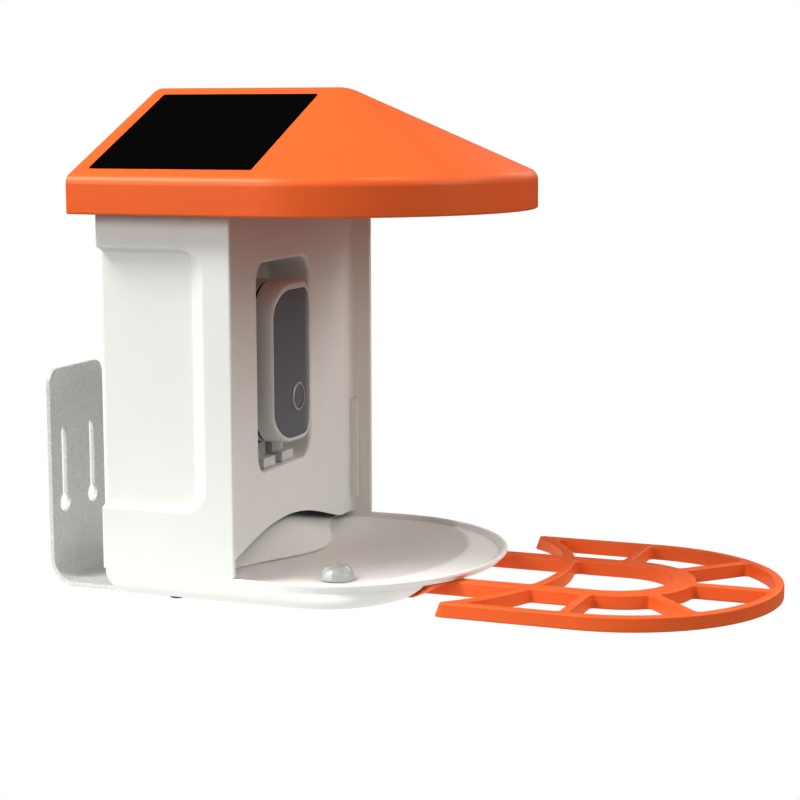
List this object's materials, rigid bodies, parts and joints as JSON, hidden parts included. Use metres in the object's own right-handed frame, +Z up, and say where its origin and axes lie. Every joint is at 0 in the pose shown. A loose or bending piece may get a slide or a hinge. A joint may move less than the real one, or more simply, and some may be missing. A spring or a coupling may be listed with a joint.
{
  "type": "smart bird feeder",
  "caption": "Smart bird feeder: white seed hopper on a dish, orange hinged roof with a solar panel, pull-out camera unit, orange perch and a steel wall bracket.",
  "frame": {"origin": "On the underside of the wall bracket's leg, on the feeder's middle plane, below the middle of the hopper body.", "axes": "+Z up; -Y points to the front, where the dish and the perch are; +Y points to the wall; +X is the feeder's left, seen by someone who faces its front."},
  "size_m": [0.211, 0.4067, 0.2766],
  "materials": {
    "white_plastic": "satin",
    "orange_plastic": "satin",
    "grey_plastic": "satin",
    "solar_glass": "gloss",
    "smoked_window": "gloss",
    "coated_steel": "satin",
    "bright_steel": "gloss",
    "brass": "satin",
    "black_rubber": "matte",
    "black_plastic": "satin",
    "clear_plastic": "gloss",
    "circuit_board": "satin",
    "battery_wrap": "satin"
  },
  "bodies": {
    "feeder_body": {"dish_base": "white_plastic", "body_shell": "white_plastic", "front_panel": "white_plastic", "seed_chute": "white_plastic", "camera_rest_1": "grey_plastic", "camera_rest_2": "grey_plastic", "wall_bracket": "coated_steel", "bracket_screw_1": "bright_steel", "bracket_screw_2": "bright_steel", "bracket_screw_3": "bright_steel", "bracket_screw_4": "bright_steel", "base_screw_1": "bright_steel", "base_screw_2": "bright_steel", "base_screw_3": "bright_steel", "base_screw_4": "bright_steel", "lid_magnet_1": "bright_steel", "lid_magnet_2": "bright_steel", "hinge_pin_left": "bright_steel", "hinge_pin_right": "bright_steel", "threaded_insert_1": "brass", "threaded_insert_2": "brass", "threaded_insert_3": "brass", "threaded_insert_4": "brass", "rubber_foot_1": "black_rubber", "rubber_foot_2": "black_rubber", "rubber_foot_3": "black_rubber", "rubber_foot_4": "black_rubber"},
    "lid": {"roof_shell": "orange_plastic", "solar_panel": "solar_glass", "solar_junction_box": "black_plastic", "solar_cable_gland": "black_rubber", "lid_keeper_1": "bright_steel", "lid_keeper_2": "bright_steel"},
    "camera_unit": {"camera_bezel": "grey_plastic", "camera_rear_shell": "grey_plastic", "camera_seal": "black_rubber", "camera_window": "smoked_window", "camera_lens_barrel": "black_plastic", "camera_lens_glass": "clear_plastic", "camera_board": "circuit_board", "camera_battery": "battery_wrap", "camera_speaker": "black_plastic", "motion_sensor": "clear_plastic", "camera_screw_1": "bright_steel", "camera_screw_2": "bright_steel", "camera_screw_3": "bright_steel", "camera_screw_4": "bright_steel", "charge_socket": "bright_steel", "button_ring": "bright_steel", "button_switch": "black_plastic"},
    "button": {"button_cap": "smoked_window"},
    "port_cover": {"charge_port_plug": "black_rubber"},
    "perch_frame": {"perch": "orange_plastic"},
    "plug": {"drain_plug": "clear_plastic"}
  },
  "joints": [
    {"name": "lid_hinge", "type": "hinge", "parent": "feeder_body", "child": "lid", "pos_m": [0, 0.044, 0.2175], "axis": [-1, 0, 0], "range_deg": [0, 88]},
    {"name": "camera_pull", "type": "slide", "parent": "feeder_body", "child": "camera_unit", "axis": [0, -1, 0], "range_m": [0, 0.034]},
    {"name": "button_press", "type": "slide", "parent": "camera_unit", "child": "button", "axis": [0, 1, 0], "range_m": [0, 0.0008], "stiffness_N_per_m": 1500},
    {"name": "port_cover_pull", "type": "slide", "parent": "camera_unit", "child": "port_cover", "axis": [0, 0, -1], "range_m": [0, 0.005]},
    {"name": "perch_pull", "type": "slide", "parent": "feeder_body", "child": "perch_frame", "axis": [0, -1, 0], "range_m": [0, 0.05]},
    {"name": "drain_plug_pull", "type": "slide", "parent": "feeder_body", "child": "plug", "axis": [0, 0, 1], "range_m": [0, 0.012]}
  ]
}
